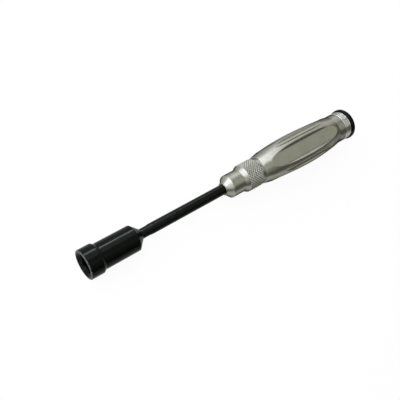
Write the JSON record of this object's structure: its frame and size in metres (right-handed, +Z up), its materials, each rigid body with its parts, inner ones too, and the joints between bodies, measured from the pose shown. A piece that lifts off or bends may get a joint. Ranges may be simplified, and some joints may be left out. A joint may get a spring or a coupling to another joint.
{
  "type": "nut driver",
  "caption": "Hand nut driver: a black hexagon socket on a slim round shaft, a fluted grey metal handle with a knurled finger ring, and a palm cap that turns freely.",
  "frame": {"origin": "middle of the socket's mouth, on the tool's axis", "axes": "+X along the tool's axis from the socket's mouth to the palm cap, +Z up out of one of the grip's flutes, with the set screw underneath"},
  "size_m": [0.1886, 0.021, 0.021],
  "materials": {
    "blackened_steel": "black oxide, semi-gloss",
    "anodised_grey": "satin anodised, olive grey",
    "bare_aluminium": "turned, bare",
    "anodised_black": "gloss anodised, black",
    "bearing_steel": "ground",
    "cage_brass": "pressed",
    "zinc_steel": "zinc plated"
  },
  "bodies": {
    "driver": {"socket": "blackened_steel", "drive_shaft": "blackened_steel", "shaft_set_screw": "blackened_steel", "handle_body": "anodised_grey", "tail_collar": "bare_aluminium", "bearing_outer_ring": "bearing_steel", "bearing_shields": "bearing_steel", "bearing_circlip": "zinc_steel"},
    "cap": {"end_cap": "anodised_black", "cap_screw": "zinc_steel", "cap_spacer": "bare_aluminium", "cap_washer": "zinc_steel", "cap_nut": "zinc_steel", "bearing_inner_ring": "bearing_steel"},
    "ball_set": {"bearing_balls": "bearing_steel", "bearing_cage": "cage_brass"}
  },
  "joints": [
    {"name": "cap_spin", "type": "hinge", "parent": "driver", "child": "cap", "pos_m": [0.18208, 0, 0], "axis": [1, 0, 0], "continuous": true},
    {"name": "ball_spin", "type": "hinge", "parent": "driver", "child": "ball_set", "pos_m": [0.18208, 0, 0], "axis": [1, 0, 0], "continuous": true}
  ],
  "couplings": [
    {"joint": "ball_spin", "follows": "cap_spin", "ratio": 0.37692}
  ]
}
